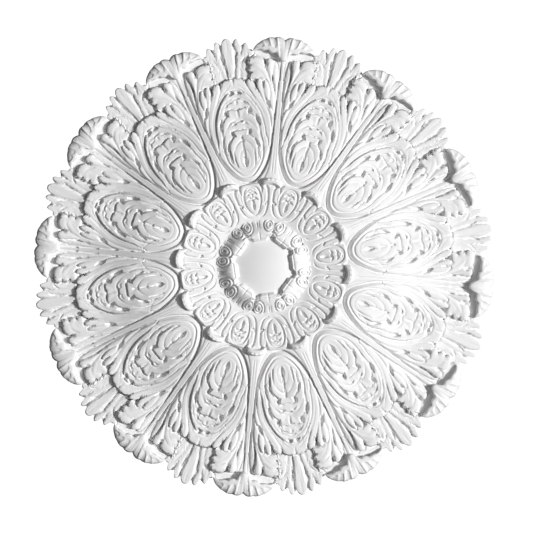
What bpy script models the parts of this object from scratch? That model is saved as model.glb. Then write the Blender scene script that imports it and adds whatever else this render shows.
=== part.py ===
"""Round ceiling rose, cast in one piece and hung carved face down, +Z up, in metres.

The flat back lies at z = 0 and the carving faces -Z. The whole carved face is one grid:
216 columns around (12 panels of 18) by rings whose radii follow the carved edges, and
z = -height(radius, angle). A panel is 30 degrees and mirrored about its own axis, so the
columns are set out over 15 degrees, from the panel axis (0) to the shell axis (15).
Lengths below are in millimetres and are turned into metres by MM.
"""
import math

import bmesh
import bpy
import numpy as np

MM = 0.001

# repeats and how they are turned against each other
PANELS = 12
PANEL_TURN = -9.65
HEART_LEAVES = 8
HEART_TURN = -8.0

# radii of the rose: plain boss, heart leaves, ring and outline
BOSS_EDGE = 39.5
HEART_RADIUS = 70.8
RING_RADIUS = 124.5
RADIUS = 348.0

# the carving below is drawn for these radii and follows the four radii above as they change
DRAWN_RADII = (0.0, 39.5, 70.8, 124.5, 348.0)

# heights over the flat back
BOSS_HEIGHT = 52.5
BOSS_DROP = 4.7
HEART_HEIGHT = 55.0
RING_FOOT = 40.0
RING_HEIGHT = 49.0
TIP_HEIGHT = 58.0
PANEL_HEIGHT = 46.5
SHELL_HEIGHT = 23.0
SHELL_RIM = 13.0
LEAF_EDGE = 8.0

# rise of the ring and fall of the panel: drawn radius, share of the height
RING_RISE = ((60.0, 0.0), (70.5, 0.02), (84.0, 0.44), (99.0, 0.64), (114.0, 0.87), (122.0, 1.0), (134.0, 1.0))
PANEL_FALL = ((120.0, 0.90), (126.0, 0.96), (136.0, 1.0), (144.0, 1.0), (159.0, 0.95), (174.0, 0.87),
              (189.0, 0.765), (204.0, 0.645), (219.0, 0.515), (234.0, 0.39), (249.0, 0.275), (264.0, 0.175),
              (279.0, 0.105), (294.0, 0.06), (309.0, 0.04), (350.0, 0.0))

# heart leaves
HEART_BACK = 23.0
HEART_SCALLOP = 3.6
HEART_GAP = 8.0
HEART_VALLEY = 3.0

# medallion of the ring
MEDALLION_AXIS = 97.5
MEDALLION_LENGTH = 18.0
MEDALLION_WIDTH = 13.5
MEDALLION_RISE = 2.6

# curled tip on the shell axis
TIP_FOOT = 107.0
TIP_RUN = 15.0
TIP_WIDTH = 15.5
TIP_REACH = 8.0

# groove between panel and stem: drawn radius, angle
GROOVE_DEPTH = 6.0
GROOVE_WIDTH = 2.6
GROOVE_PATH = ((126.0, 0.0), (127.5, 4.0), (130.4, 6.6), (136.9, 9.5), (148.6, 11.65), (164.8, 13.15),
               (180.5, 13.46), (211.7, 13.94), (243.0, 14.29), (274.3, 14.57), (305.6, 14.79))

# oval of the panel
OVAL_AXIS = 181.5
OVAL_LENGTH = 45.0
OVAL_WIDTH = 30.0
OVAL_RISE = 3.0

# crown leaf that ends in a raised edge, and side leaf
CROWN_START = 220.0
CROWN_EDGE = 280.5
CROWN_LIFT = 8.0
CROWN_ANGLE = 11.2
SIDE_START = 252.0
SIDE_EDGE = 310.0
SIDE_LIFT = 5.0
SIDE_FROM = 4.4
SIDE_TO = 12.6

# fan leaf: outline from its axis outward as angle and share of the radius, and height of its ribs
FAN_OUTLINE = ((0.0, 1.0), (1.45, 0.970), (2.5, 0.990), (3.35, 0.963), (5.1, 0.971), (6.75, 0.932))
FAN_RIB = 1.8

# shell on the shell axis
SHELL_WIDTH = 47.0
SHELL_OUTLINE = ((0.0, 341.5), (4.0, 344.5), (8.5, 346.5), (14.0, 345.0), (19.5, 345.0), (25.5, 343.0),
                 (30.0, 340.5), (37.5, 336.0), (42.0, 332.0), (45.0, 327.5), (47.0, 322.0))
SHELL_LIP = ((0.0, 308.5), (4.0, 310.0), (7.5, 315.0), (10.0, 320.0), (17.0, 320.5), (24.0, 323.0),
             (31.0, 323.5), (39.0, 324.0), (47.0, 321.0))
SHELL_RIDGES = (10.5, 20.0)
SHELL_FLUTE = 2.4

# column angles, in degrees from the panel axis, at a few drawn radii
COLUMNS = (
    (0.0, (0.0, 1.67, 3.33, 5.0, 6.67, 8.33, 10.0, 11.67, 13.33, 15.0)),
    (66.0, (0.0, 1.67, 3.33, 5.0, 6.67, 8.33, 10.0, 11.67, 13.33, 15.0)),
    (78.0, (0.0, 2.6, 5.2, 7.9, 9.6, 11.4, 12.6, 13.6, 14.3, 15.0)),
    (112.0, (0.0, 1.8, 3.6, 5.4, 7.4, 8.4, 9.6, 11.3, 13.2, 15.0)),
    (128.0, (0.0, 1.9, 3.8, 5.6, 7.4, 8.4, 9.6, 11.3, 13.2, 15.0)),
    (137.0, (0.0, 2.0, 3.6, 5.4, 7.2, 9.0, 10.4, 11.9, 13.5, 15.0)),
    (149.0, (0.0, 2.6, 5.0, 7.3, 8.6, 9.8, 10.7, 11.65, 12.8, 15.0)),
    (165.0, (0.0, 3.0, 6.0, 8.9, 10.3, 11.4, 12.3, 13.05, 13.8, 15.0)),
    (182.0, (0.0, 3.0, 6.0, 8.9, 10.3, 11.6, 12.8, 13.48, 14.1, 15.0)),
    (203.0, (0.0, 2.2, 4.4, 6.5, 8.1, 10.9, 13.1, 13.8, 14.4, 15.0)),
    (226.0, (0.0, 1.6, 3.2, 5.6, 8.6, 11.3, 13.5, 14.1, 14.6, 15.0)),
    (240.0, (0.0, 2.6, 5.2, 7.8, 9.9, 11.9, 13.7, 14.25, 14.7, 15.0)),
    (275.0, (0.0, 2.4, 4.8, 7.2, 9.2, 11.2, 13.2, 14.3, 14.7, 15.0)),
    (300.0, (0.0, 1.9, 3.7, 5.3, 7.0, 8.8, 10.8, 12.6, 14.0, 15.0)),
    (326.0, (0.0, 1.45, 2.5, 3.35, 5.1, 6.75, 8.9, 11.2, 13.2, 15.0)),
    (350.0, (0.0, 1.45, 2.5, 3.35, 5.1, 6.75, 8.6, 10.6, 13.5, 15.0)),
)

PLASTER_COLOUR = (0.80, 0.80, 0.79, 1.0)
PLASTER_ROUGHNESS = 0.55


def clear_scene():
    """Take every object out of the scene."""
    for thing in list(bpy.data.objects):
        bpy.data.objects.remove(thing, do_unlink=True)


def smooth(t):
    """Soft step from 0 to 1."""
    t = min(max(t, 0.0), 1.0)
    return t * t * (3.0 - 2.0 * t)


def along(value, pairs):
    """Straight interpolation in a list of (place, value) pairs."""
    table = np.array(pairs)
    return float(np.interp(value, table[:, 0], table[:, 1]))


def shell_edge(across):
    """Outer edge of a shell at a distance across from its axis."""
    return along(across, SHELL_OUTLINE)


def shell_lip(across):
    """Inner lip of a shell: lowest at its axis, where the middle lobe hangs over the stem."""
    return along(across, SHELL_LIP)


def ray_to(curve, angle):
    """Radius where a ray meets a curve q(p) drawn in the frame of the shell axis."""
    turn = math.radians(15.0 - angle)
    radius = SHELL_OUTLINE[-1][1]
    for _ in range(16):
        radius = 0.5 * radius + 0.5 * curve(radius * math.sin(turn)) / math.cos(turn)
    return radius


def outline(angle):
    """Outer radius of the rose: fan leaf near the panel axis, shell beyond it."""
    if angle <= FAN_OUTLINE[-1][0] + 0.05:
        return DRAWN_RADII[4] * along(angle, FAN_OUTLINE)
    return ray_to(shell_edge, angle)


def tip_edge(turned):
    """Inner edge of the heart leaves over the boss; turned is the angle from the leaf's axis."""
    scallop = HEART_SCALLOP * smooth((turned - 6.0) / 10.5)
    return DRAWN_RADII[1] + scallop + HEART_GAP * smooth((turned - 15.0) / 5.5)


def ring_edge(angle):
    """Outer edge of the ring, bulging where the curled tips reach over it."""
    across = DRAWN_RADII[3] * math.radians(15.0 - angle)
    return DRAWN_RADII[3] + TIP_REACH * max(1.0 - (across / TIP_WIDTH) ** 2, 0.0) ** 0.5


def boss_height(radius):
    """Plain boss: a shallow dome that has dropped by BOSS_DROP at its edge."""
    return BOSS_HEIGHT - BOSS_DROP * (radius / DRAWN_RADII[1]) ** 2


def heart_height(radius, turned):
    """Inner ring of leaves, falling outward from its crest, with a valley between two leaves."""
    heart = DRAWN_RADII[2]
    rise = RING_FOOT + (HEART_HEIGHT - RING_FOOT) * smooth((heart - radius) / HEART_BACK)
    valley = HEART_VALLEY * smooth((turned - 16.0) / 6.5) * smooth((heart - 9.0 - radius) / 10.0)
    return rise - valley


def ring_height(radius, angle):
    """Dished ring with a raised medallion on the panel axis and a curled tip on the shell axis."""
    height = RING_FOOT + (RING_HEIGHT - RING_FOOT) * along(radius, RING_RISE)
    x = radius * math.sin(math.radians(angle))
    y = radius * math.cos(math.radians(angle))
    oval = math.hypot(x / MEDALLION_WIDTH, (y - MEDALLION_AXIS) / MEDALLION_LENGTH)
    height = height + MEDALLION_RISE * smooth((1.15 - oval) / 0.2)
    across = radius * math.sin(math.radians(15.0 - angle))
    outward = radius * math.cos(math.radians(15.0 - angle))
    share = smooth((outward - TIP_FOOT) / TIP_RUN) * smooth(3.0 * (1.0 - across / TIP_WIDTH))
    return height + (TIP_HEIGHT - height) * share


def groove_depth(radius, angle):
    """Depth of the groove that runs around the panel and along its stem."""
    centre = along(radius, GROOVE_PATH)
    off = math.radians(angle - centre) * radius
    if radius < 137.0:
        path = np.array(GROOVE_PATH)
        off = radius - float(np.interp(angle, path[:, 1], path[:, 0]))
    width = GROOVE_WIDTH * (1.0 - 0.4 * smooth((radius - 150.0) / 150.0))
    depth = GROOVE_DEPTH * (1.0 - 0.6 * smooth((radius - 200.0) / 105.0))
    if radius > 307.0:
        return 0.0
    return depth * max(1.0 - (off / width) ** 2, 0.0)


def shell_height(radius, angle):
    """Fluted shell: flat crest behind the lip, then a round fall to the outer rim."""
    across = radius * math.sin(math.radians(15.0 - angle))
    outward = radius * math.cos(math.radians(15.0 - angle))
    lip = shell_lip(across)
    if outward < lip or across > SHELL_WIDTH:
        return 0.0
    share = (outward - lip) / max(shell_edge(across) - lip, 0.5)
    height = SHELL_HEIGHT - (SHELL_HEIGHT - SHELL_RIM) * max(share - 0.25, 0.0) ** 2 / 0.5625
    fan = across / (0.74 + 0.26 * (outward - SHELL_OUTLINE[-1][1]) / 15.0)
    flute = min(abs(fan - ridge) for ridge in SHELL_RIDGES)
    height = height - SHELL_FLUTE * smooth(flute / 4.0)
    side = max(1.0 - (across / (SHELL_WIDTH + 3.0)) ** 2, 0.0) ** 0.25
    return LEAF_EDGE + (height - LEAF_EDGE) * side


def panel_height(radius, angle):
    """Long acanthus panel: falling body, oval, crown leaf, side leaf, ribbed fan, groove and shell."""
    height = LEAF_EDGE + (PANEL_HEIGHT - LEAF_EDGE) * along(radius, PANEL_FALL)
    x = radius * math.sin(math.radians(angle))
    y = radius * math.cos(math.radians(angle))
    oval = math.hypot(x / OVAL_WIDTH, (y - OVAL_AXIS) / OVAL_LENGTH)
    height = height + OVAL_RISE * smooth((1.12 - oval) / 0.16)
    if angle < CROWN_ANGLE and radius < CROWN_EDGE:
        height = height + CROWN_LIFT * smooth((radius - CROWN_START) / 50.0)
    elif SIDE_FROM < angle < SIDE_TO and radius < SIDE_EDGE:
        height = height + SIDE_LIFT * smooth((radius - SIDE_START) / 40.0)
    elif angle < FAN_OUTLINE[-1][0]:
        rib = math.cos(2.0 * math.pi * angle / FAN_OUTLINE[2][0])
        height = height + FAN_RIB * 0.5 * (1.0 + rib)
    height = height - groove_depth(radius, angle)
    return max(height, shell_height(radius, angle))


def row_radii(angle, turned):
    """Radii of the rings of one column, from the boss to the outline."""
    edge = tip_edge(turned)
    ring = ring_edge(angle)
    groove = GROOVE_PATH[0][0]
    lip_near = 284.0
    lip_top = 305.0
    crest = 326.0
    if angle > FAN_OUTLINE[-1][0] - 0.3:
        lip_near = ray_to(shell_lip, angle) - 0.9
        lip_top = ray_to(shell_lip, angle) + 0.5
        crest = lip_top + 0.4 * (outline(angle) - lip_top)
    start = max(groove, ring + 1.8)
    heart = DRAWN_RADII[2]
    return (0.5 * DRAWN_RADII[1], edge - 0.7, edge + 0.8, edge + 7.0, 0.5 * (edge + 7.0 + heart),
            heart - 0.8, heart + 1.0, 84.0, 110.0, ring - 0.8, start, start + 5.0,
            149.0, 165.0, 203.0, 226.0, 250.0, CROWN_EDGE - 0.8, lip_near, lip_top, crest,
            outline(angle))


def face_height(ring, radius, angle, turned):
    """Height of the carved face at one grid point; ring is the number of its row."""
    if ring < 2:
        return boss_height(radius)
    if ring < 6:
        return heart_height(radius, turned)
    if ring < 10:
        return ring_height(radius, angle)
    return panel_height(radius, angle)


def column_angle(number, radius):
    """Angle from the panel axis of column 0..9 at a radius."""
    pairs = [(place, angles[number]) for place, angles in COLUMNS]
    return along(radius, pairs)


def grid_point(column, ring):
    """Place of one grid point of the carved face."""
    panel, step = divmod(column, 18)
    number = step if step <= 9 else 18 - step
    hand = 1.0 if step <= 9 else -1.0
    turn = 30.0 * panel + (0.0 if step <= 9 else 30.0)
    radius = DRAWN_RADII[3]
    for _ in range(14):
        angle = column_angle(number, radius)
        heading = turn + hand * angle + PANEL_TURN
        leaf = 360.0 / HEART_LEAVES
        turned = abs((heading - HEART_TURN + 0.5 * leaf) % leaf - 0.5 * leaf)
        radius = 0.5 * radius + 0.5 * row_radii(angle, turned)[ring]
    height = face_height(ring, radius, angle, turned)
    heading = math.radians(heading)
    radius = float(np.interp(radius, DRAWN_RADII, (0.0, BOSS_EDGE, HEART_RADIUS, RING_RADIUS, RADIUS)))
    return (radius * math.sin(heading) * MM, -radius * math.cos(heading) * MM, -height * MM)


def carve_rose():
    """The whole casting: carved face, rim wall and flat back."""
    rings = len(row_radii(0.0, 0.0))
    columns = 18 * PANELS
    mesh = bmesh.new()
    centre = mesh.verts.new((0.0, 0.0, -boss_height(0.0) * MM))
    grid = []
    for ring in range(rings):
        grid.append([mesh.verts.new(grid_point(column, ring)) for column in range(columns)])
    back = [mesh.verts.new((corner.co.x, corner.co.y, 0.0)) for corner in grid[-1]]
    for column in range(columns):
        after = (column + 1) % columns
        mesh.faces.new((centre, grid[0][column], grid[0][after]))
        for ring in range(rings - 1):
            near, far = grid[ring], grid[ring + 1]
            if column % 18 < 9:
                mesh.faces.new((near[column], far[column], near[after]))
                mesh.faces.new((near[after], far[column], far[after]))
            else:
                mesh.faces.new((near[column], far[column], far[after]))
                mesh.faces.new((near[column], far[after], near[after]))
        mesh.faces.new((grid[-1][column], back[column], back[after], grid[-1][after]))
    mesh.faces.new(back)
    bmesh.ops.recalc_face_normals(mesh, faces=mesh.faces[:])
    data = bpy.data.meshes.new("ceiling_rose")
    mesh.to_mesh(data)
    mesh.free()
    rose = bpy.data.objects.new("ceiling_rose", data)
    bpy.context.scene.collection.objects.link(rose)
    return rose


def plaster():
    """Matt white casting plaster."""
    material = bpy.data.materials.new("white_plaster")
    material.use_nodes = True
    shader = material.node_tree.nodes["Principled BSDF"]
    shader.inputs["Base Color"].default_value = PLASTER_COLOUR
    shader.inputs["Roughness"].default_value = PLASTER_ROUGHNESS
    shader.inputs["Metallic"].default_value = 0.0
    return material


def shade(rose):
    """Smooth the carving and keep its sharp edges and the flat back crisp."""
    for face in rose.data.polygons:
        face.use_smooth = abs(face.normal.z) < 0.999 or face.center.z < -0.001
    rose.data.set_sharp_from_angle(angle=math.radians(40.0))


def build():
    """Build the rose."""
    clear_scene()
    rose = carve_rose()
    rose.data.materials.append(plaster())
    shade(rose)


build()
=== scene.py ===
"""Round plaster ceiling rose, carved face down, seen from straight below.

The solid of the frame gives the size and the place of every form. Here the carved face is
worked out as a height under the flat back, z = -height(radius, angle), on fine polar grids:
one half panel of 15 degrees, mirrored and repeated round the rose. All carving is in millimetres.
"""
import math

import bpy
import numpy as np
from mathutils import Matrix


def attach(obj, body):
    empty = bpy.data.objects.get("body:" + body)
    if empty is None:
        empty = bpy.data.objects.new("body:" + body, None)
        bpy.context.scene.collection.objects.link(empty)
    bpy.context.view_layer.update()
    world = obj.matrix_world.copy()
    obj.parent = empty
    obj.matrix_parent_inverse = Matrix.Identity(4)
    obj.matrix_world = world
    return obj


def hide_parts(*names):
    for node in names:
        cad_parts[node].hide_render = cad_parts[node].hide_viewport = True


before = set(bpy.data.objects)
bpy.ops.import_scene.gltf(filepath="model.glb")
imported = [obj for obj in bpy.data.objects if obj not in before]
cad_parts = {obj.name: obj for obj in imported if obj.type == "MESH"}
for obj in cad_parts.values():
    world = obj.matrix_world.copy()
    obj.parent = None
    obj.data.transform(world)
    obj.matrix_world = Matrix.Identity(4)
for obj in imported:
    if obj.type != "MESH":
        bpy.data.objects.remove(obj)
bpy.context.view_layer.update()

MM = 0.001
# side of one drawing unit, mm: x, y and half width of the drawn curves are in these units
UNIT = 1.5

# turn of the panels and of the heart leaves, degrees clockwise from the top of the view
PANEL_TURN = -9.65
HEART_TURN = -8.0
# number of panels and of heart leaves, angle of half a panel and of half a leaf in degrees
PANELS = 12
HEART_LEAVES = 8
HALF_PANEL = 180.0 / PANELS
HALF_LEAF = 180.0 / HEART_LEAVES

# outer edge of the heart leaves and of the ring, reach of the curled tips over the ring, mm
HEART_EDGE = 70.6
RING_EDGE = 124.5
TIP_REACH = 8.0
# half width of a shell, thickness of the flat back, mm
SHELL_WIDTH = 47.0
BACK_PLATE = 1.0

# cells of the carved faces: columns over half a panel, leaf or shell, rows from the middle outward
PANEL_COLUMNS = 58
PANEL_ROWS = 240
RING_COLUMNS = 36
RING_ROWS = 80
HEART_COLUMNS = 30
HEART_ROWS = 50
BOSS_ROWS = 26
SHELL_COLUMNS = 40
SHELL_ROWS = 32

# light and camera, metres, watts and degrees
FILL = 0.08
KEY_POWER = 1620.0
KEY_ELEVATION = 43.0
KEY_DISTANCE = 12.0
KEY_SIZE = 0.6
BACK_LIGHT_POWER = 22.0
BACK_LIGHT_HEIGHT = 1.7
BACK_LIGHT_SIZE = 1.6
FLOOR_HALF = 14.0
FLOOR_LEVEL = -9.5
# the picture is FRAME_WIDTH wide in the plane FRAME_DEPTH under the back
CAMERA_FALL = 3.0
CAMERA_X = 0.00375
CAMERA_Y = -0.00045
FRAME_WIDTH = 0.7995
FRAME_DEPTH = 0.012


# drawing tools: drawings in units, heights and depths in mm
def smooth(t):
    """Soft step from 0 to 1."""
    t = np.clip(t, 0, 1)
    return t * t * (3 - 2 * t)


def bend(a, b, c, d, t):
    """Catmull-Rom: the point at the share t from b to c, with a before b and d after c."""
    return 0.5 * (2 * b + (c - a) * t + (2 * a - 5 * b + 4 * c - d) * t ** 2
                  + (3 * b - a - 3 * c + d) * t ** 3)


def spline(rows, steps=7):
    """Smooth curve through the rows (x, y, half width, lift); its ends run on straight."""
    p = np.array(rows, float) * (UNIT, UNIT, UNIT, 1)
    if len(p) < 3:
        return p[0] + (p[-1] - p[0]) * np.linspace(0, 1, steps + 1)[:, None]
    e = np.vstack([2 * p[0] - p[1], p, 2 * p[-1] - p[-2]])
    t = np.arange(steps)[:, None] / steps
    parts = [bend(a, b, c, d, t) for a, b, c, d in zip(e[:-3], e[1:-2], e[2:-1], e[3:])]
    return np.vstack(parts + [p[-1:]])


def near(X, Y, rows):
    """Nearest place on the curve.

    Gives the distance and the offset to its right, both over the half width there, then the half
    width and the lift.
    """
    line = spline(rows)
    reach = np.full(X.shape, 1e9)
    right, width, lift = np.zeros(X.shape), np.ones(X.shape), np.zeros(X.shape)
    for (ax, ay, aw, al), (bx, by, bw, bl) in zip(line[:-1], line[1:]):
        dx, dy = bx - ax, by - ay
        run = max(dx * dx + dy * dy, 1e-9)
        t = np.clip(((X - ax) * dx + (Y - ay) * dy) / run, 0, 1)
        gx, gy = X - ax - dx * t, Y - ay - dy * t
        w = np.maximum(aw + (bw - aw) * t, 0.05)
        u = np.hypot(gx, gy) / w
        closer = u < reach
        reach = np.where(closer, u, reach)
        right = np.where(closer, (gx * dy - gy * dx) / (w * run ** 0.5), right)
        width = np.where(closer, w, width)
        lift = np.where(closer, al + (bl - al) * t, lift)
    return reach, right, width, lift


def around(points, X, Y, gap):
    """Points of the grid within the gap of a drawn curve."""
    p = np.array(points)[:, :2] * UNIT
    return ((X > p[:, 0].min() - gap) & (X < p[:, 0].max() + gap)
            & (Y > p[:, 1].min() - gap) & (Y < p[:, 1].max() + gap))


def between(table, place):
    """Straight-line reading of a table of pairs."""
    t = np.array(table, float)
    return np.interp(place, t[:, 0], t[:, 1])


def curve(r, table):
    """Smooth curve (cubic Hermite) through the pairs of a table."""
    t = np.array(table, float)
    m = np.gradient(t[:, 1], t[:, 0])
    i = np.clip(np.searchsorted(t[:, 0], r) - 1, 0, len(t) - 2)
    h = t[i + 1, 0] - t[i, 0]
    q = np.clip((r - t[i, 0]) / h, 0, 1)
    return ((2 * q ** 3 - 3 * q * q + 1) * t[i, 1] + (q ** 3 - 2 * q * q + q) * h * m[i]
            + (3 * q * q - 2 * q ** 3) * t[i + 1, 1] + (q ** 3 - q * q) * h * m[i + 1])


def inside(X, Y, points):
    """Distance to a smooth closed outline, positive inside: nearest side, even-odd crossings."""
    p = np.array(points, float) * UNIT
    t = np.arange(4)[:, None] / 4
    corners = zip(np.roll(p, 1, 0), p, np.roll(p, -1, 0), np.roll(p, -2, 0))
    p = np.vstack([bend(a, b, c, d, t) for a, b, c, d in corners])
    gap, odd = np.full(X.shape, 1e9), np.zeros(X.shape, bool)
    for (ax, ay), (bx, by) in zip(p, np.roll(p, -1, 0)):
        dx, dy = bx - ax, by - ay
        run = max(dx * dx + dy * dy, 1e-9)
        t = np.clip(((X - ax) * dx + (Y - ay) * dy) / run, 0, 1)
        gap = np.minimum(gap, np.hypot(X - ax - dx * t, Y - ay - dy * t))
        if ay != by:
            odd ^= ((ay > Y) != (by > Y)) & (X < ax + dx * (Y - ay) / dy)
    return np.where(odd, gap, -gap)


def leaf(Z, B, X, Y, foot, low, lift, roll, points):
    """Leaf laid on what is there: base + lift, a steep border, rounded over the width roll.

    The lift grows from low at y = foot to its full value at the tip; with foot = 0 it is full at
    the border and falls to low 18 mm inside it, and fades near the lowest point. A fine trench
    follows the border.
    """
    m = around(points, X, Y, 3.0)
    d = inside(X[m], Y[m], points)
    top = max(y for x, y in points)
    bottom = min(y for x, y in points)
    grown = (Y[m] / UNIT - foot) / (top - foot) if foot else 1 - d / 18.0
    rise = low + (lift - low) * np.clip(grown, 0, 1)
    if not foot:
        rise = rise * smooth((Y[m] / UNIT - bottom - 1) / 16)
    share = 0.75 * smooth(d / 1.0) + 0.25 * (1 - (1 - np.clip(d / roll, 0, 1)) ** 2)
    step = np.clip((B[m] + rise - Z[m]) / 3.0, 0.15, 1)
    trench = 2.4 * step * np.clip(1 - ((d + 0.7) / 1.4) ** 2, 0, 1)
    Z[m] = np.where(d > 0, np.maximum(Z[m] - trench, B[m] + rise * share), Z[m] - trench)


def cut(Z, X, Y, rows, power=1.0):
    """Groove or eye: depth times (1 - u^2)^power under the surface, u over the half width."""
    m = around(rows, X, Y, UNIT * max(row[2] for row in rows) + 2.0)
    u, _, _, depth = near(X[m], Y[m], rows)
    Z[m] = Z[m] - depth * np.clip(1 - u * u, 0, 1) ** power


def ditch(Z, X, Y, rows, steep):
    """Groove that is soft on its left and has a steep wall of the width steep on its right."""
    m = around(rows, X, Y, UNIT * max(row[2] for row in rows) + 2.0)
    u, right, w, depth = near(X[m], Y[m], rows)
    side = np.where(right > 0, u * w / steep, u)
    Z[m] = Z[m] - depth * np.clip(1 - side * side, 0, 1) ** 1.2


# panel: height of its ground and of the crown's ground at radius r, both in mm
BASE = ((120, 43), (126, 45), (136, 46.5), (144, 46.5), (159, 44.5), (174, 41.5), (189, 37.5),
        (204, 32.8), (219, 27.8), (234, 23), (249, 18.6), (264, 14.8), (279, 12), (294, 10.3),
        (309, 9.5), (348, 8))
CROWN_BASE = ((120, 43), (126, 45), (136, 46.5), (144, 46.5), (159, 44.5), (174, 41.5), (189, 37.5),
              (204, 32.8), (219, 28.2), (234, 24), (249, 20.6), (264, 17.8), (279, 15.6),
              (288, 14.6), (348, 12))
# fan and side leaves, lowest first: y of the foot, lift there and at the tip, rounding, outline
SIDE_LEAVES = (
    (180, .5, 1.8, 6, ((10, 190), (16, 190), (21, 205), (25, 212), (26.6, 217), (24, 219.4),
                       (19.6, 216), (14, 206))),
    (196, .4, 2, 9, ((6, 186), (12, 187), (16, 197), (20, 208), (22.6, 216), (22.8, 221.4),
                     (20.6, 225.4), (17.4, 224), (15, 219), (12.6, 210), (9, 198))),
    (180, 3.4, 1.4, 12, ((-8, 184), (2.6, 184), (3.4, 196), (4.6, 208), (6, 217), (5.8, 224),
                         (4.2, 228.4), (1.6, 231.2), (0, 232), (-8, 232))),
    (196, .8, 2.2, 12, ((4, 190), (7, 190), (10.6, 200), (14.4, 210), (15.8, 219), (14.6, 226),
                        (12.4, 229.6), (10.6, 230.4), (8.4, 228.6), (7.2, 224), (8.6, 217),
                        (7, 208), (6.2, 202), (5, 196))),
    (196, .8, 2.4, 7, ((22, 178), (12, 186), (9.6, 194), (11, 202), (14.8, 208), (19, 210.4),
                       (24, 210), (26, 200), (26, 185))),
    (150, .6, 3.4, 12, ((26, 118), (29, 127), (32, 137), (35, 147), (38, 157), (41, 167),
                        (44, 178), (46.4, 190), (46.8, 198), (45.4, 203), (43, 200), (40, 190),
                        (36, 175), (30, 150))),
    (150, 1, 9.4, 12, ((26, 116), (30.4, 133), (33.6, 145), (36.6, 156), (38.6, 166), (39.6, 176),
                       (39.4, 187), (38, 194), (35.4, 197.6), (35, 200), (34.6, 204), (32, 207),
                       (28, 208.8), (23.6, 209), (19.6, 207.6), (17.8, 205), (18.4, 202.4),
                       (20.8, 201), (18.2, 199.6), (17.2, 197), (18.2, 194.6), (20.6, 193.4),
                       (18, 192), (17, 189), (18.2, 186), (21, 184), (24, 176), (26, 160),
                       (24, 140))),
    (150, 1.6, 10, 12, ((38.4, 172), (39.2, 182), (40.6, 189), (42.6, 195), (44.4, 200.4),
                        (42.6, 203.8), (39, 204.8), (36.4, 202), (35, 197.6), (36.2, 190),
                        (37.6, 182))),
)
# leaves of the crown and the tiles inside it, in the same way
CROWN_LEAVES = (
    (170, .1, 4.4, 9, ((-12, 190.6), (0, 190.6), (5, 190.2), (9, 188.8), (12.6, 186.2), (16, 184),
                       (22, 175), (27, 160), (29, 140), (28, 120), (-12, 120))),
    (166, .7, 5, 10, ((25, 118), (27, 132), (27.2, 142), (26.4, 150), (24.2, 158), (21, 165.5),
                      (17, 173.5), (14.2, 180), (13.4, 184), (14.6, 187), (17.4, 187.2), (20, 185),
                      (21.4, 181.4), (24, 174), (28, 162), (31, 148), (30.6, 130), (28, 116))),
    (166, 1.3, 5.6, 10, ((28, 118), (30.6, 132), (31.2, 143), (30.4, 152), (28.2, 161),
                         (25.4, 170), (23.4, 177), (23.2, 181.4), (24.6, 185.2), (27, 186),
                         (28.9, 183), (29.6, 178), (31.4, 170), (32.6, 158), (33, 145),
                         (31, 126))),
    (160, 1.2, 5, 10, ((29, 124), (31.6, 138), (32, 150), (30.6, 158), (29.6, 168), (29.4, 176),
                       (30.4, 181.4), (32.2, 183.6), (34.2, 180.6), (35, 174.6), (34.4, 168.6),
                       (32.8, 163), (32.4, 158), (34.2, 150), (33.6, 138), (31, 124))),
    (0, 0, 4.2, 9, ((-20, 178.4), (0, 178.4), (4, 177.8), (9, 174.4), (14.6, 168), (19.6, 158.4),
                    (22.4, 150), (23.8, 140), (23.6, 130), (21.5, 118), (-12, 118))),
    (0, 0, 3.2, 8, ((-20, 169.4), (0, 169.4), (2, 168.8), (5, 170), (10, 167.4), (14.6, 162),
                    (18, 154.6), (20.4, 147), (21.6, 138), (21, 126), (18, 116), (-12, 116))),
    (0, 0, 4, 8, ((-20, 158.6), (0, 158.6), (4, 159.4), (8, 159.4), (10.4, 158), (10.4, 155.6),
                  (11.6, 152.8), (14, 150.4), (16.4, 146.4), (17.8, 140), (18.4, 130), (17, 116),
                  (-12, 114))),
    (0, 0, 3, 7, ((-20, 146.4), (0, 146.4), (2, 146), (4.6, 147.4), (8.2, 146.2), (11.8, 142.6),
                  (14.8, 137.6), (16.8, 131), (17.2, 124), (16, 114), (-12, 110))),
    (0, 0, 4, 7, ((-20, 137.8), (0, 137.8), (3, 138), (6, 137.6), (8.2, 136), (7.6, 133.6),
                  (8.2, 131), (10.4, 128.4), (12.6, 124.4), (13.6, 119), (13.2, 112), (11, 104),
                  (-12, 100))),
    (0, 0, 2.6, 6, ((-20, 126.6), (0, 126.6), (2.6, 126), (6.6, 122.4), (9, 116), (9.6, 109),
                    (8.4, 102.4), (5.4, 98), (0, 96.4), (-12, 96))),
    (0, .4, 1.8, 6, ((-20, 117.4), (0, 117.4), (2.6, 116), (4.6, 111), (4.8, 106), (3.4, 101.6),
                     (0, 99.8), (-12, 99.6))),
)
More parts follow.
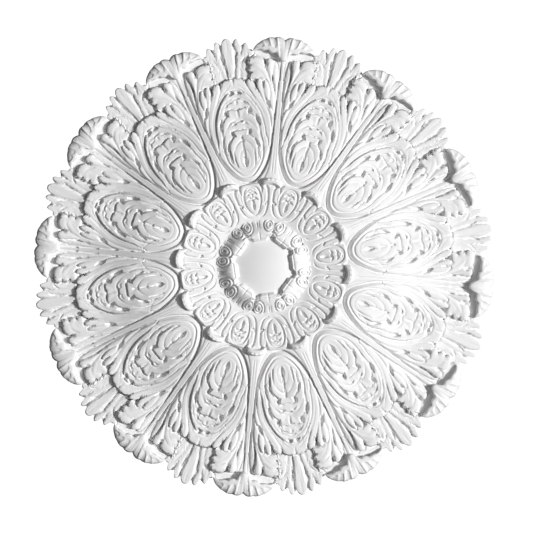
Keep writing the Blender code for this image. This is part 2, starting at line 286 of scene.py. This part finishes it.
# pits, eyes and slits: x, y, half width, depth
CUTS = (
    ((0, 101.6, 1.5, 3), (0, 105.4, 2.5, 4.5), (0, 109.4, 1.4, 3)),
    ((12.8, 127.4, .7, 3), (14.3, 123, 1.4, 4.6), (15.6, 119, .8, 2.6)),
    ((17.2, 150.4, .9, 3), (18.6, 145.4, 1.8, 6), (19.8, 140, .9, 3)),
    ((30, 165, .9, 3), (31, 160.6, 1.9, 6), (31.8, 155.6, .9, 3)),
    ((39.8, 180.4, .8, 2.4), (40, 184, 1.1, 3.4), (40.6, 187.4, .5, 2)),
    ((37, 196.6, .5, 1.4), (36.6, 199.6, 1.1, 3.4), (35.6, 202.4, 1, 2.4)),
    ((6, 132, .8, 2), (8.6, 134.6, 1.9, 5), (9.4, 137.4, .8, 2)),
    ((10, 153, .9, 2), (12, 156, 2.2, 5.6), (12.4, 159, .9, 2)),
    ((1.6, 175.2, 1, 3), (3.6, 175.6, 1.9, 5.4), (6.4, 174, .8, 2.4)),
    ((3.4, 144, .5, 1.4), (6, 144.4, .9, 2.8), (8, 143, .5, 1.4)),
    ((4, 166.6, .5, 1.4), (8.4, 165.6, .9, 2.6), (11.6, 162.6, .5, 1.4)),
    ((13.6, 181.4, .6, 2), (13, 184.6, .9, 3), (12.8, 187, 1, 3)),
    ((22.2, 177.4, .6, 2.4), (22.6, 181.6, 1.3, 4.6), (22.8, 184.6, 2, 4.6)),
    ((29.4, 176, .6, 2), (30, 180, 1, 3)),
    ((6.4, 202.4, .7, 2.4), (6.9, 209, .9, 3.4), (8, 214, .9, 3.4), (9.4, 216.6, .5, 2)),
    ((12, 211.4, .5, 1.4), (14.6, 218.4, .9, 3), (15.6, 223, 1.1, 3)),
    ((6.6, 222, .6, 2), (6.8, 227.6, 1.1, 3)),
    ((.2, 110, .8, 2.4), (.7, 115, .5, 1.6), (.2, 120, .8, 2.2), (.7, 126, .5, 1.6),
     (.2, 131, .9, 2.6)),
    ((.2, 150, .4, .8), (.6, 154, .7, 2), (.2, 158, .9, 2.4)),
    ((.3, 164, .5, 1), (.6, 167, .8, 1.8)),
    ((.2, 183, .4, 1), (.3, 190, .8, 2.4)),
    ((8.6, 102, .5, 1.2), (9.7, 108, .8, 2.2), (10.4, 117, .4, 1.2)),
    ((12.2, 106.6, .5, 1.4), (13, 112, .8, 2.2), (13.7, 118, .4, 1.2)),
)
# fine veins, in the same way
VEINS = (
    ((1.8, 190, .5, .9), (2.1, 204, .6, 1.2), (2.2, 220, .4, .5)),
    ((0, 196, .5, .5), (0, 212, .7, 1), (0, 229, .4, .6)),
    ((3.4, 194, .4, .6), (4.2, 206, .5, 1), (4.6, 218, .4, .6)),
    ((10.4, 194, .4, .5), (12.6, 206, .5, .8), (12.8, 218, .4, .5)),
    ((14, 196, .4, .5), (18, 208, .5, .8), (20.2, 218, .4, .5)),
    ((34.6, 193, .5, 1.2), (31, 198, .6, 1.6), (26, 201.6, .4, .9)),
    ((25, 196.8, .4, .8), (29.6, 192, .5, 1), (33, 184, .4, .8), (34.6, 174, .3, .5)),
    ((27, 191, .4, .6), (30.4, 184, .5, .9), (31.8, 176, .3, .5)),
    ((42, 172, .4, .5), (44, 184, .5, 1), (44.6, 196, .4, .6)),
    ((3, 184.6, .4, .6), (8, 180, .5, 1), (15, 172.4, .5, 1), (20.4, 163, .4, .7),
     (23.6, 152, .3, .5)),
    ((17.6, 181, .4, .5), (21.6, 172, .5, .8), (26, 160, .4, .6), (28.6, 147, .3, .4)),
    ((26.4, 178, .4, .5), (28.4, 169, .5, .8), (30, 160, .3, .5)),
    ((9, 168.6, .4, .5), (14.6, 163, .5, .8), (18.8, 154, .4, .6)),
    ((5, 163, .4, .5), (9.6, 163, .5, .8), (14, 158, .4, .6)),
)
# line round the oval and deep groove round the panel: x, y, half width, depth
OVAL = ((0, 90.4, 1.4, 2), (5, 91.6, 1.4, 2.2), (10, 96, 1.4, 2.4), (14.3, 101.6, 1.4, 2.4),
        (17.4, 108, 1.3, 2.4), (19, 115, 1.3, 2.4), (19.6, 121, 1.2, 2.2), (18.9, 128, 1, 1.8),
        (17, 134, .6, 1))
GROOVE = ((0, 84.3, 4, 4), (5, 85.2, 4, 4), (10, 88.2, 4, 4), (15, 93.2, 4, 4), (20, 100.2, 3.8, 4),
          (25, 109.6, 3.4, 4), (28, 117, 3, 4), (31, 127, 2.7, 4), (34, 137, 2.4, 4),
          (37, 147, 2.2, 3.8), (40, 157, 2, 3.6), (43, 167, 1.9, 3.4), (46, 177, 1.8, 3.2),
          (49, 187, 1.7, 2.8), (52, 197, 1.5, 2.2), (55, 207, 1.2, 1.4))
# stem between two panels and the lines on it: x, y, half width, lift or depth
STEM = ((0, 85.3, 8, 1.2), (0, 92, 6, 1), (0, 100, 4.4, .8), (0, 112, 3.5, .5), (0, 133, 2.9, .4),
        (0, 160, 2.4, .4), (0, 190, 1.6, 1), (0, 208, 1.3, 2))
STEM_LINE = ((1.3, 93.3, .6, .9), (1, 133.3, .5, .8), (.6, 186.7, .4, .6), (.5, 200, .3, .4))


def panel(X, Y):
    """Acanthus panel in its own frame, x across and y outward from the centre of the rose."""
    r = np.hypot(X, Y)
    Z = curve(r, BASE)
    for ground, leaves in ((BASE, SIDE_LEAVES), (CROWN_BASE, CROWN_LEAVES)):
        B = curve(r, ground)
        for foot, low, lift, roll, points in leaves:
            leaf(Z, B, X, Y, foot, low, lift, roll, points)
    ditch(Z, X, Y, OVAL, 1.6)
    for rows in VEINS:
        cut(Z, X, Y, rows)
    for rows in CUTS:
        cut(Z, X, Y, [(x, y, w, 1.3 * depth) for x, y, w, depth in rows], 0.6)
    ditch(Z, X, Y, GROOVE, 1.2)
    cut(Z, X, Y, [(x, y, 1.2, 0.9 * depth) for x, y, _, depth in GROOVE], 0.7)
    return Z


# shell in mm, p across and q outward: lip, outer edge, borders of its cells at q = CELL_LINE
LIP = ((0, 308.5), (4, 310), (7.5, 315), (9.5, 319.5), (12, 321), (17, 320), (21, 321), (24, 324),
       (31, 323), (38, 324), (47, 321))
EDGE = ((0, 341.5), (4, 344.5), (8.5, 346), (13.5, 345), (16, 344), (19.5, 344.6), (25.5, 343),
        (30, 340.5), (33, 339.3), (37.5, 336), (42, 332), (45, 327.5), (47, 322))
CELLS = (0.0, 9.0, 12.5, 20.5, 23.5, 33.0, 48.0)
CELL_LINE = 322
# height of its crest and of the ground at its sides, mm
SHELL_CREST = 22.0
SHELL_GROUND = 9.5


def shell(P, Q):
    """Fluted shell in the frame of its axis: flat crest, round fall to the rim, hollow cells."""
    lip = between(LIP, P)
    v = (Q - lip) / np.maximum(between(EDGE, P) - lip, 0.5)
    z = SHELL_CREST - 6.5 * np.clip((v - 0.3) / 0.7, 0, 1) ** 2.5
    z = z - 1.5 * np.clip((0.2 - v) / 0.2, 0, 1) ** 2 - 3.0 * smooth((v - 0.9) / 0.1)
    sides = np.clip(1 - (P / (SHELL_WIDTH + 1)) ** 2, 0, 1) ** 0.3
    z = SHELL_GROUND + (z - SHELL_GROUND) * sides
    # the cells spread like a fan; i is the cell, f the share across it
    fan = P / (0.74 + 0.26 * np.clip((Q - CELL_LINE) / 15, -0.4, 1.7))
    e = np.array(CELLS)
    i = np.clip(np.searchsorted(e, fan, side="right") - 1, 0, len(e) - 2)
    f = np.clip((fan - e[i]) / (e[i + 1] - e[i]), 0, 1)
    bowl = 1 - (2 * f - 1) ** 2
    hollow = (i == 2) | (i == 4) | (i == 5)
    z = z - np.where(hollow, 1.7 * bowl ** 0.4, 0) * smooth((v - 0.24 - 0.24 * (1 - bowl)) * 9)
    z = z + np.where((i == 1) | (i == 3), 0.7 * bowl, 0) * smooth((v - 0.25) * 5)
    # middle cell: a crease on the axis and a groove beside it
    crease = 0.9 * np.exp(-(fan / 1.1) ** 2) * smooth((v - 0.35) * 4)
    groove = 0.7 * np.exp(-((fan - 4.4) / 0.9) ** 2) * smooth((v - 0.3) * 4)
    z = z - np.where(i == 0, 1.1 * smooth(f) ** 2 + crease + groove, 0)
    for border in CELLS[1:5]:
        z = z - 0.8 * np.exp(-((fan - border) / 0.7) ** 2) * smooth((v - 0.25) * 5)
    return z


# ring: height at radius r in mm, line round the medallion
RING = ((39, 41), (60, 39.6), (70.5, 40), (84, 43.6), (99, 45.6), (114, 47.6), (122, 49),
        (134, 49))
MEDALLION = ((0, 51.8, 1.2, 1.8), (3, 53.6, 1.2, 2), (6, 58, 1.2, 2.4), (7.9, 63, 1.2, 2.8),
             (8.6, 69, 1.2, 2.8), (7.9, 74, 1.2, 2.6), (6, 78, 1.1, 2.2), (3, 80, 1, 1.8),
             (0, 80.6, .9, 1.4))
# contour, eyes and notches of a ring leaf
PETAL = (
    ((4, 49.4, .6, 1), (8, 50.7, 1, 1.8), (11, 54, 1.2, 2.4), (13.2, 59, 1.2, 2.8),
     (14.8, 64.5, 1.2, 2.8), (16, 70, 1.2, 3), (16.6, 75, 1.3, 3.2), (15.2, 79.4, 1.5, 3.4),
     (12, 82.6, 1.6, 3.6)),
    ((13.6, 63.4, .7, 2.4), (11.3, 61.4, 1.3, 4.4)),
    ((10.3, 73, .6, 2), (11, 78, 1.2, 4), (10, 82, 1.7, 5)),
    ((0, 58, 1.2, 3.4), (0, 61, 1.9, 5), (.2, 65, 1.2, 3), (.2, 70, .5, 1.4), (.4, 76, .6, 1.6)),
    ((.2, 66.6, .8, 2.4), (2.6, 68.4, 1.3, 4), (5, 66.8, .7, 1.8)),
    ((.2, 73, .8, 2.4), (2.4, 74, 1.2, 3.6), (4.6, 72.2, .7, 1.8)),
    ((.4, 79, .8, 1.8), (3.2, 77.4, .7, 1.4)),
    ((2.4, 52.2, .4, .6), (5.6, 54.6, .6, 1), (9, 60.6, .5, 1), (11, 66, .5, 1),
     (11.6, 71, .4, .8)),
)
# medallion: its centre on the panel axis, half width, half height, mm
MEDALLION_PLACE = 99.5
MEDALLION_WIDTH = 12.6
MEDALLION_HEIGHT = 21.5
# curled tip: its ridge on the stem axis, half depth, half width, highest point, mm
TIP_PLACE = 129.0
TIP_DEPTH = 6.0
TIP_WIDTH = 14.0
TIP_TOP = 57.6


def ring(X, Y, P, Q):
    """Dished ring: a leaf with a sunk medallion on the panel axis, a curled tip at the stem."""
    B = curve(np.hypot(X, Y), RING)
    oval = np.hypot(X / MEDALLION_WIDTH, (Y - MEDALLION_PLACE) / MEDALLION_HEIGHT)
    Z = B + 2.0 * np.clip(1 - oval ** 2, 0, 1) ** 0.6 - 1.3 * smooth((1.04 - oval) / 0.1)
    for rows in PETAL:
        cut(Z, X, Y, rows, 0.7)
    ditch(Z, X, Y, MEDALLION, 1.4)
    # curled tip: a roll across the stem axis with a fine double line on its inner side
    arc = Q - TIP_PLACE + 0.028 * P ** 2
    roll = np.clip(1 - (arc / TIP_DEPTH) ** 2, 0, 1) ** 0.5
    roll = roll * np.clip(1 - (P / TIP_WIDTH) ** 2, 0, 1) ** 0.4
    lobing = 0.6 * np.cos(2 * math.pi * P / 6.4) * smooth((arc + 2) / 4)
    tip = B - 0.4 + (8.8 + lobing) * roll
    tip = tip - 1.3 * np.exp(-((arc + 2.2) / 0.7) ** 2) - 0.9 * np.exp(-((arc - 0.2) / 0.7) ** 2)
    # hollow in front of the roll
    hollow = np.clip(1 - ((arc + 8.0) / 2.4) ** 2, 0, 1) * np.clip(1 - (P / 13.0) ** 2, 0, 1)
    lower = Z - 1.6 * hollow
    return np.where(roll > 0.05, np.maximum(lower, np.minimum(tip, TIP_TOP)), lower)


# inner edge of the heart leaves over the boss, mm, at b degrees from a leaf axis
TIP_EDGE = ((0, 39), (5, 39.15), (9, 39.5), (13, 40), (14.2, 41.5), (15.2, 44), (17, 45),
            (20, 45.6), (22.5, 46.6))
# heart leaves: height at their outer edge, rise to the boss, place of the scroll's eye, mm
HEART_HEIGHT = 40
HEART_RISE = 14.0
EYE_X = 16.5
EYE_Y = 60.0
# boss: height at its middle, mm
BOSS_HEIGHT = 53.0


def heart(r, b):
    """Heart leaves, b degrees from a leaf axis (0 to 22.5)."""
    x, y = r * np.sin(np.radians(b)), r * np.cos(np.radians(b))
    Z = HEART_HEIGHT + HEART_RISE * smooth((71.5 - r) / 24)
    # scroll round the eye: a raised collar, two ring grooves, the eye itself
    d = np.hypot((x - EYE_X) / 0.86, (y - EYE_Y) / 1.15)
    Z = Z + 2.4 * smooth((9.4 - d) / 2.5)
    for place, depth in ((5.8, 3.4), (10.0, 3.2)):
        Z = Z - depth * np.exp(-((d - place) / 0.9) ** 2)
    eye = np.hypot(x - EYE_X - 0.5, (y - EYE_Y - 1.0) / 1.4) / 2.2
    Z = Z - 4.6 * np.clip(1 - eye ** 2, 0, 1) ** 0.7
    # midrib, then the contour line and the rolled edge over the boss
    rim = r - between(TIP_EDGE, b)
    Z = Z - 2.0 * np.exp(-((x - 1.4) / 0.9) ** 2) * smooth((r - 56) / 5) * smooth((71 - r) / 3)
    Z = Z - 1.2 * np.exp(-(x / 1.0) ** 2) * smooth((56 - r) / 8)
    Z = Z - 1.3 * np.exp(-((rim - 5.6) / 0.9) ** 2) - 3.2 * (1 - smooth(rim / 4.5))
    # valley between two leaves
    v = (HALF_LEAF - b) * np.radians(1) * r
    return Z - 3.2 * np.exp(-(v / 1.5) ** 2)


def boss(r):
    """Plain boss, a shallow dome that falls by r^2 / 250."""
    return BOSS_HEIGHT - r * r / 250.0


# outer edge of the fan leaf: degrees from the panel axis, radius in mm
OUT = ((0, 347.6), (0.5, 347), (0.95, 344.5), (1.25, 341), (1.42, 336), (1.6, 340), (2, 343.5),
       (2.6, 345), (3, 343), (3.3, 337), (3.45, 331), (3.7, 334.5), (4.4, 337), (5.05, 338.6),
       (5.4, 335), (5.65, 328), (6.1, 327.5), (6.5, 327), (6.75, 324))


def outline(k):
    """Outer radius at k degrees (0 to 15) from a panel axis: fan leaf, then rim of the shell."""
    g = np.radians(HALF_PANEL - k)
    r = np.full(np.shape(k), 330.0)
    # the shell's edge is drawn over p = r sin g, so r is found by repeated halving
    for _ in range(16):
        r = 0.5 * r + 0.5 * between(EDGE, np.abs(r * np.sin(g))) / np.cos(g)
    return np.where(k > OUT[-1][0], r, between(OUT, k))


# heights of the pieces over radius and angle
def both_axes(r, k):
    """Places in the frame of the panel axis (X, Y) and in that of the stem axis (P, Q)."""
    on, off = np.radians(k), np.radians(HALF_PANEL - k)
    return r * np.sin(on), r * np.cos(on), r * np.sin(off), r * np.cos(off)


def ring_edge(angle):
    """Outer edge of the ring: a circle that bulges where the curled tips reach over it."""
    across = RING_EDGE * np.radians(HALF_PANEL - angle)
    return RING_EDGE + TIP_REACH * np.clip(1 - (across / 15.5) ** 2, 0, 1) ** 0.5


def panel_relief(r, k):
    """Height of the panel with the stem beside it, lower at the rim."""
    X, Y, P, Q = both_axes(r, k)
    Z = panel(X, Y)
    u, _, w, lift = near(P, Q, STEM)
    stem = curve(r, BASE) + lift * smooth((1 - u) * w / 0.9) + 0.1 * w * (1 - u * u)
    Z = np.where(u < 1, np.maximum(Z, stem), Z)
    cut(Z, P, Q, STEM_LINE)
    rim = np.clip(1 - (outline(k) - r) / 1.6, 0, 1)
    return Z * (1 - 0.35 * rim ** 2)


def ring_relief(r, k):
    """Height of the ring, rolled over at its outer edge."""
    rim = np.clip(1 - (ring_edge(k) - r) / 1.4, 0, 1)
    return ring(*both_axes(r, k)) - 3.0 * rim ** 2


def heart_relief(r, b):
    """Height of the plain boss and of the heart leaves around it."""
    rise = smooth((r - between(TIP_EDGE, b) + 0.6) / 1.2)
    rim = np.clip(1 - (HEART_EDGE - r) / 1.2, 0, 1)
    return boss(r) + (heart(r, b) - boss(r)) * rise - 2.0 * rim ** 2


# pieces
def grid_body(name, radius, heading, height, kind="wedge", back=BACK_PLATE):
    """Closed body from a polar grid.

    The carved face has the points (r sin a, -r cos a, -height) of the grid; walls run from its
    border up to a flat face at z = -back. A ring and a disc join their last column to their
    first; the innermost row of a disc is closed by one face.
    """
    turn = np.radians(heading)
    face = np.stack([radius * np.sin(turn), -radius * np.cos(turn), -height], -1)
    rows, columns = radius.shape
    index = np.arange(rows * columns).reshape(rows, columns)
    if kind != "wedge":
        index = np.concatenate([index, index[:, :1]], 1)
    if kind == "ring":
        borders = [index[-1], index[0, ::-1]]
    elif kind == "disc":
        borders = [index[-1]]
    else:
        borders = [np.concatenate([index[-1], index[-2::-1, -1], index[0, -2::-1], index[1:, 0]])]
    cells = np.stack([index[:-1, :-1], index[:-1, 1:], index[1:, 1:], index[1:, :-1]], -1)
    quads = [cells.reshape(-1, 4)]
    carved = len(quads[0])
    points, flats = [face.reshape(-1, 3)], []
    count = rows * columns
    for border in borders:
        line = border[:-1]
        points.append(points[0][line] * (1, 1, 0) - (0, 0, back))
        up = count + np.arange(len(line))
        count += len(line)
        flats.append(up)
        quads.append(np.stack([line, np.roll(line, -1), np.roll(up, -1), up], -1))
    if kind == "ring":
        outer, inner = flats[0], np.roll(flats[1][::-1], 1)
        quads.append(np.stack([outer, np.roll(outer, -1), np.roll(inner, -1), inner], -1))
        flats = []
    elif kind == "disc":
        flats.append(index[0, :0:-1])
    quads = np.concatenate(quads)
    loops = np.concatenate([quads.ravel()] + flats)
    sizes = np.concatenate([np.full(len(quads), 4), [len(flat) for flat in flats]])
    starts = np.concatenate([[0], np.cumsum(sizes)[:-1]])
    points = np.concatenate(points) * MM
    mesh = bpy.data.meshes.new(name)
    mesh.vertices.add(len(points))
    mesh.vertices.foreach_set("co", points.astype(np.float32).ravel())
    mesh.loops.add(len(loops))
    mesh.loops.foreach_set("vertex_index", loops.astype(np.int32))
    mesh.polygons.add(len(sizes))
    mesh.polygons.foreach_set("loop_start", starts.astype(np.int32))
    mesh.polygons.foreach_set("use_smooth", np.arange(len(sizes)) < carved)
    mesh.update(calc_edges=True)
    piece = bpy.data.objects.new(name, mesh)
    bpy.context.scene.collection.objects.link(piece)
    return piece


def all_round(columns, half, turn):
    """Columns of a half wedge laid there and back all round the rose, and their headings."""
    place = np.arange(round(360 / half) * columns)
    column = columns - np.abs(columns - place % (2 * columns))
    return column, place * half / columns + turn


def back_plate():
    """Flat back of the casting: a thin plate with the outline of the rose behind all carving."""
    column, heading = all_round(PANEL_COLUMNS, HALF_PANEL, PANEL_TURN)
    rim = outline(column * HALF_PANEL / PANEL_COLUMNS)
    radius = np.stack([rim - 6.0, rim])
    height = BACK_PLATE + 0 * radius
    return grid_body("back_plate", radius, heading + 0 * radius, height, "disc", 0.0)


def panel_bodies():
    """Twelve acanthus panels, from the ring's edge to the outline, all from one half panel."""
    half = np.linspace(0.0, HALF_PANEL, PANEL_COLUMNS + 1)
    share = np.linspace(0.0, 1.0, PANEL_ROWS + 1)[:, None]
    start, stop = ring_edge(half) - 2.0, outline(half)
    radius = start + (stop - start) * share
    height = panel_relief(radius, half + 0 * radius)
    column = np.abs(np.arange(-PANEL_COLUMNS, PANEL_COLUMNS + 1))
    radius, height = radius[:, column], height[:, column]
    angle = np.concatenate([-half[:0:-1], half]) + 0 * radius
    return [grid_body("acanthus_panel_%02d" % (number + 1), radius,
                      angle + PANEL_TURN + 2 * HALF_PANEL * number, height)
            for number in range(PANELS)]


def shell_bodies():
    """Twelve shells: rows run from the lip to the rim, columns across; walls go up to the back."""
    across = np.linspace(-1.0, 1.0, 2 * SHELL_COLUMNS + 1)
    across = SHELL_WIDTH * np.sign(across) * np.abs(across) ** 0.92
    side = np.abs(across)
    lip, edge = between(LIP, side), between(EDGE, side)
    share = np.linspace(0.0, 1.0, SHELL_ROWS + 1)[:, None]
    q = lip + (edge - lip) * share
    p = across + 0 * q
    rim = np.clip(1 - (q - lip) / 1.2, 0, 1) ** 2 + np.clip(1 - (edge - q) / 1.2, 0, 1) ** 2
    height = shell(np.abs(p), q) - 1.6 * rim
    angle = np.degrees(np.arctan2(p, q)) + PANEL_TURN + HALF_PANEL
    return [grid_body("shell_%02d" % (number + 1), np.hypot(p, q),
                      angle + 2 * HALF_PANEL * number, height)
            for number in range(PANELS)]


def ring_body():
    """Dished ring of medallions and curled tips, one closed ring of 24 half panels."""
    half = np.linspace(0.0, HALF_PANEL, RING_COLUMNS + 1)
    share = np.linspace(0.0, 1.0, RING_ROWS + 1)[:, None]
    radius = HEART_EDGE - 3.0 + (ring_edge(half) - HEART_EDGE + 3.0) * share
    height = ring_relief(radius, half + 0 * radius)
    column, heading = all_round(RING_COLUMNS, HALF_PANEL, PANEL_TURN)
    radius, height = radius[:, column], height[:, column]
    return grid_body("medallion_ring", radius, heading + 0 * radius, height, "ring")


def heart_body():
    """Plain boss and heart leaves, one closed disc of 16 half leaves."""
    half = np.linspace(0.0, HALF_LEAF, HEART_COLUMNS + 1)
    edge = between(TIP_EDGE, half) - 1.0
    dome = np.linspace(0.02, 1.0, BOSS_ROWS)[:, None] * edge
    leaves = edge + (HEART_EDGE - edge) * np.linspace(0.0, 1.0, HEART_ROWS + 1)[1:, None]
    radius = np.concatenate([dome, leaves])
    height = heart_relief(radius, half + 0 * radius)
    column, heading = all_round(HEART_COLUMNS, HALF_LEAF, HEART_TURN)
    radius, height = radius[:, column], height[:, column]
    return grid_body("heart_leaves", radius, heading + 0 * radius, height, "disc")


# finish
def plaster():
    """Matt white casting plaster: faint clouding of the white, fine grain in the bump."""
    material = bpy.data.materials.new("white_plaster")
    material.use_nodes = True
    nodes, links = material.node_tree.nodes, material.node_tree.links
    shader = nodes["Principled BSDF"]
    shader.inputs["Metallic"].default_value = 0.0
    shader.inputs["IOR"].default_value = 1.45
    place = nodes.new("ShaderNodeTexCoord")
    cloud = nodes.new("ShaderNodeTexNoise")
    cloud.inputs["Scale"].default_value = 14.0
    cloud.inputs["Detail"].default_value = 5.0
    links.new(place.outputs["Object"], cloud.inputs["Vector"])
    white = nodes.new("ShaderNodeValToRGB")
    white.color_ramp.elements[0].position = 0.3
    white.color_ramp.elements[0].color = (0.775, 0.775, 0.77, 1)
    white.color_ramp.elements[1].position = 0.7
    white.color_ramp.elements[1].color = (0.81, 0.81, 0.805, 1)
    links.new(cloud.outputs["Fac"], white.inputs["Fac"])
    links.new(white.outputs["Color"], shader.inputs["Base Color"])
    rough = nodes.new("ShaderNodeMapRange")
    rough.inputs["To Min"].default_value = 0.55
    rough.inputs["To Max"].default_value = 0.72
    links.new(cloud.outputs["Fac"], rough.inputs["Value"])
    links.new(rough.outputs["Result"], shader.inputs["Roughness"])
    grain = nodes.new("ShaderNodeTexNoise")
    grain.inputs["Scale"].default_value = 520.0
    grain.inputs["Detail"].default_value = 3.0
    links.new(place.outputs["Object"], grain.inputs["Vector"])
    bump = nodes.new("ShaderNodeBump")
    bump.inputs["Strength"].default_value = 0.10
    bump.inputs["Distance"].default_value = 0.0004
    links.new(grain.outputs["Fac"], bump.inputs["Height"])
    links.new(bump.outputs["Normal"], shader.inputs["Normal"])
    return material


# studio
def floor():
    """Plain pale floor far below the rose; its glow is seen by the camera alone."""
    mesh = bpy.data.meshes.new("floor")
    corners = [(x * FLOOR_HALF, y * FLOOR_HALF, FLOOR_LEVEL)
               for x, y in ((-1, -1), (1, -1), (1, 1), (-1, 1))]
    mesh.from_pydata(corners, [], [(0, 1, 2, 3)])
    sheet = bpy.data.objects.new("floor", mesh)
    bpy.context.scene.collection.objects.link(sheet)
    paint = bpy.data.materials.new("floor_paint")
    paint.use_nodes = True
    nodes, links = paint.node_tree.nodes, paint.node_tree.links
    shader = nodes["Principled BSDF"]
    shader.inputs["Base Color"].default_value = (0.85, 0.85, 0.85, 1)
    shader.inputs["Roughness"].default_value = 0.9
    shader.inputs["Emission Color"].default_value = (1, 1, 1, 1)
    path = nodes.new("ShaderNodeLightPath")
    glow = nodes.new("ShaderNodeMapRange")
    glow.inputs["To Max"].default_value = 1.0
    links.new(path.outputs["Is Camera Ray"], glow.inputs["Value"])
    links.new(glow.outputs["Result"], shader.inputs["Emission Strength"])
    mesh.materials.append(paint)


def disk_lamp(name, size, power, place, turn):
    """Round area lamp that the camera doesn't see; it shines along its own -Z."""
    light = bpy.data.lights.new(name, "AREA")
    light.shape = "DISK"
    light.size = size
    light.energy = power
    lamp = bpy.data.objects.new(name, light)
    lamp.location = place
    lamp.rotation_euler = turn
    lamp.visible_camera = False
    bpy.context.scene.collection.objects.link(lamp)


def studio():
    """White surround with a soft fill, one lamp from the right of the view, one over the back."""
    world = bpy.data.worlds.new("studio")
    bpy.context.scene.world = world
    world.use_nodes = True
    nodes, links = world.node_tree.nodes, world.node_tree.links
    path = nodes.new("ShaderNodeLightPath")
    sky = nodes["Background"]
    sky.inputs["Color"].default_value = (1, 1, 1, 1)
    level = nodes.new("ShaderNodeMapRange")
    level.inputs["To Min"].default_value = FILL
    level.inputs["To Max"].default_value = 1.1
    links.new(path.outputs["Is Camera Ray"], level.inputs["Value"])
    links.new(level.outputs["Result"], sky.inputs["Strength"])
    rise = math.radians(KEY_ELEVATION)
    place = (KEY_DISTANCE * math.cos(rise), 0.0, -KEY_DISTANCE * math.sin(rise))
    disk_lamp("key", KEY_SIZE, KEY_POWER, place, (0.0, math.pi / 2 + rise, 0.0))
    above = (0.0, 0.0, BACK_LIGHT_HEIGHT)
    disk_lamp("back_light", BACK_LIGHT_SIZE, BACK_LIGHT_POWER, above, (0.0, 0.0, 0.0))


def camera():
    """Long lens straight below the rose; the top of the picture points to -Y."""
    lens = bpy.data.cameras.new("camera")
    lens.sensor_width = 36.0
    lens.lens = 36.0 * CAMERA_FALL / FRAME_WIDTH
    lens.clip_end = 50.0
    eye = bpy.data.objects.new("camera", lens)
    eye.location = (CAMERA_X, CAMERA_Y, -CAMERA_FALL - FRAME_DEPTH)
    eye.rotation_euler = (math.pi, 0.0, 0.0)
    bpy.context.scene.collection.objects.link(eye)
    bpy.context.scene.camera = eye


white = plaster()
for piece in panel_bodies() + shell_bodies() + [ring_body(), heart_body(), back_plate()]:
    piece.data.materials.append(white)
    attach(piece, "root")
    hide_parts("ceiling_rose")
floor()
studio()
camera()
bpy.context.scene.view_settings.view_transform = "Standard"
